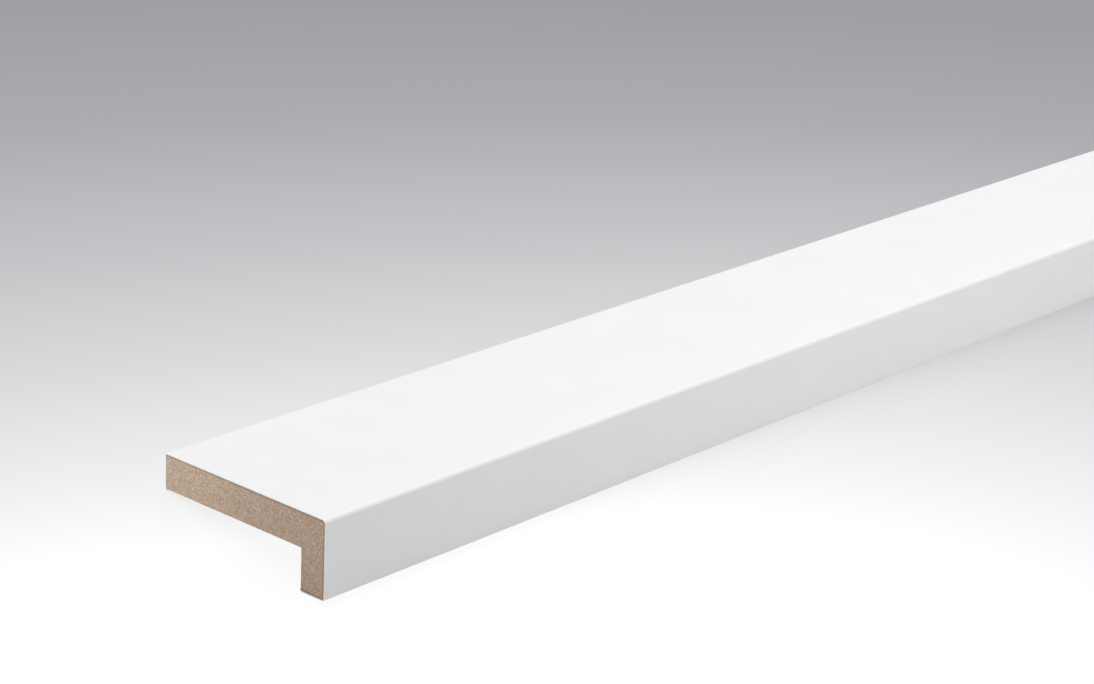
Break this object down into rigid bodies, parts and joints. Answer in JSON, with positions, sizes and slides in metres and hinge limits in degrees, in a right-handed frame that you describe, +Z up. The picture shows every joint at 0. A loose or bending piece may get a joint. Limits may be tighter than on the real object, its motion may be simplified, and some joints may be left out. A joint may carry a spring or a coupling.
{
  "type": "corner trim moulding",
  "caption": "L-section corner trim: a fibreboard core wrapped in white foil, with a wide face, a narrow return and a rebate that closes over a corner.",
  "frame": {"origin": "on the floor, under the middle of the trim's bounding box", "axes": "+X along the trim, +Z up from the floor it lies on, -Y the side of the narrow face; the section leans back 12.9 degrees, as the trim lies face up on its foot and its back edge"},
  "size_m": [2.38, 0.0632, 0.023],
  "materials": {
    "mdf_core": "raw milled fibreboard",
    "foil_wrap": "satin white foil"
  },
  "bodies": {
    "root": {"mdf_core": "mdf_core", "foil_wrap": "foil_wrap"}
  },
  "joints": []
}
